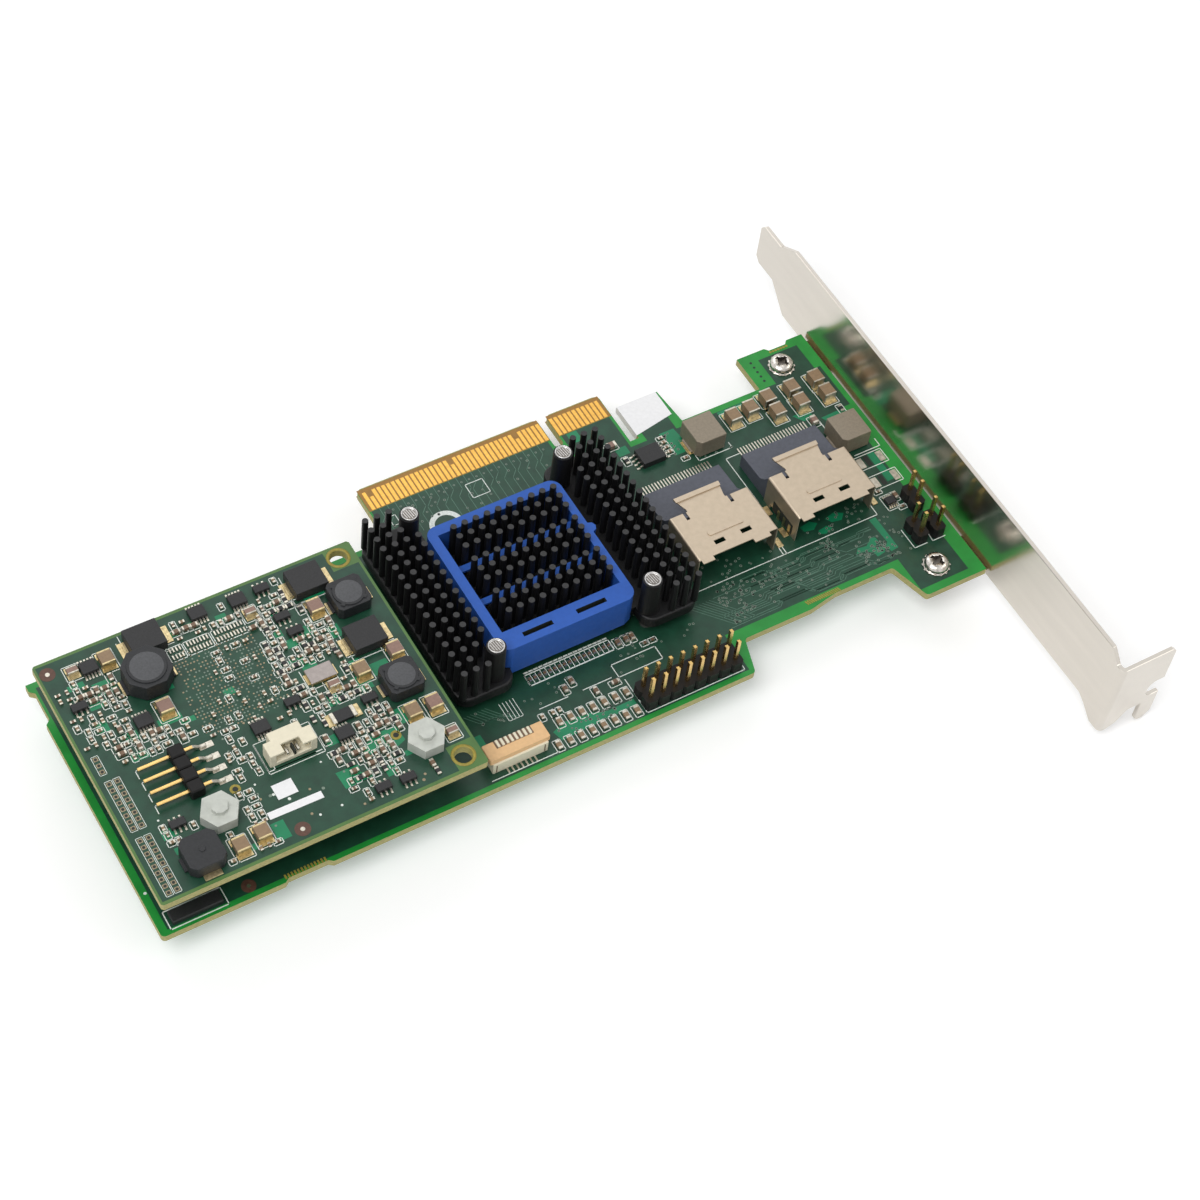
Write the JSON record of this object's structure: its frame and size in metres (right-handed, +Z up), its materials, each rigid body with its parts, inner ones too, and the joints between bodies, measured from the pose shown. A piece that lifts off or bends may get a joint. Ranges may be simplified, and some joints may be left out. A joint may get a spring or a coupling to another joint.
{
  "type": "raid controller card",
  "caption": "Low-profile expansion card that runs a disk array: green board with pin-fin heatsink, internal cable ports, flash backup board and steel slot bracket.",
  "frame": {"origin": "middle of the key notch on the contact edge, on the component-side face of the main board", "axes": "+X along the contact edge towards the slot bracket, +Y out through the gold contacts, +Z up from the component side"},
  "size_m": [0.1805, 0.12, 0.0243],
  "materials": {
    "solder_mask": "glossy green solder mask over glass laminate",
    "gold_plate": "hard gold over nickel",
    "bracket_nickel": "bright nickel-plated steel sheet",
    "screw_steel": "nickel-plated steel",
    "chip_black": "black epoxy moulding",
    "sink_black": "black anodised aluminium",
    "rivet_silver": "bright turned metal",
    "collar_blue": "satin blue moulded plastic",
    "cage_nickel": "satin nickel-plated sheet",
    "port_grey": "grey-blue moulded plastic",
    "solder_silver": "tinned copper",
    "inductor_grey": "grey moulded ferrite",
    "ferrite_black": "dark ferrite",
    "ceramic_tan": "tan-brown ceramic",
    "header_black": "black moulded plastic",
    "cream_plastic": "cream moulded plastic",
    "nylon_white": "translucent white nylon",
    "crystal_gold": "satin gilt metal can"
  },
  "bodies": {
    "root": {"angle_header_blocks": "header_black", "angle_header_pins": "gold_plate", "backup_board": "solder_mask", "battery_socket": "cream_plastic", "board_plug": "header_black", "board_socket": "header_black", "bracket": "bracket_nickel", "bracket_screws": "screw_steel", "bypass_capacitors": "ceramic_tan", "cache_memory_chips": "chip_black", "clock_chip": "chip_black", "controller_chip": "chip_black", "crystal": "crystal_gold", "diagnostic_connector": "cream_plastic", "diagnostic_contacts": "solder_silver", "driver_chips": "chip_black", "drum_inductor": "ferrite_black", "edge_contacts": "gold_plate", "filter_capacitors": "ceramic_tan", "flash_chip": "chip_black", "heatsink": "sink_black", "heatsink_collar": "collar_blue", "heatsink_pins": "rivet_silver", "input_capacitors": "ceramic_tan", "jumper_bases": "header_black", "jumper_pins": "gold_plate", "main_board": "solder_mask", "monitor_chip": "chip_black", "nylon_nuts": "nylon_white", "nylon_screws": "nylon_white", "nylon_standoffs": "nylon_white", "output_inductor": "ferrite_black", "power_diodes": "chip_black", "power_inductor_left": "inductor_grey", "power_inductor_right": "inductor_grey", "sas_body_left": "port_grey", "sas_body_right": "port_grey", "sas_cage_left": "cage_nickel", "sas_cage_right": "cage_nickel", "sas_leads_left": "solder_silver", "sas_leads_right": "solder_silver", "sense_resistor": "chip_black", "shielded_inductor_far": "ferrite_black", "shielded_inductor_near": "ferrite_black", "signal_header_base": "header_black", "signal_header_pins": "gold_plate", "small_transistors": "chip_black", "status_bar": "chip_black", "termination_resistors": "chip_black"}
  },
  "joints": []
}
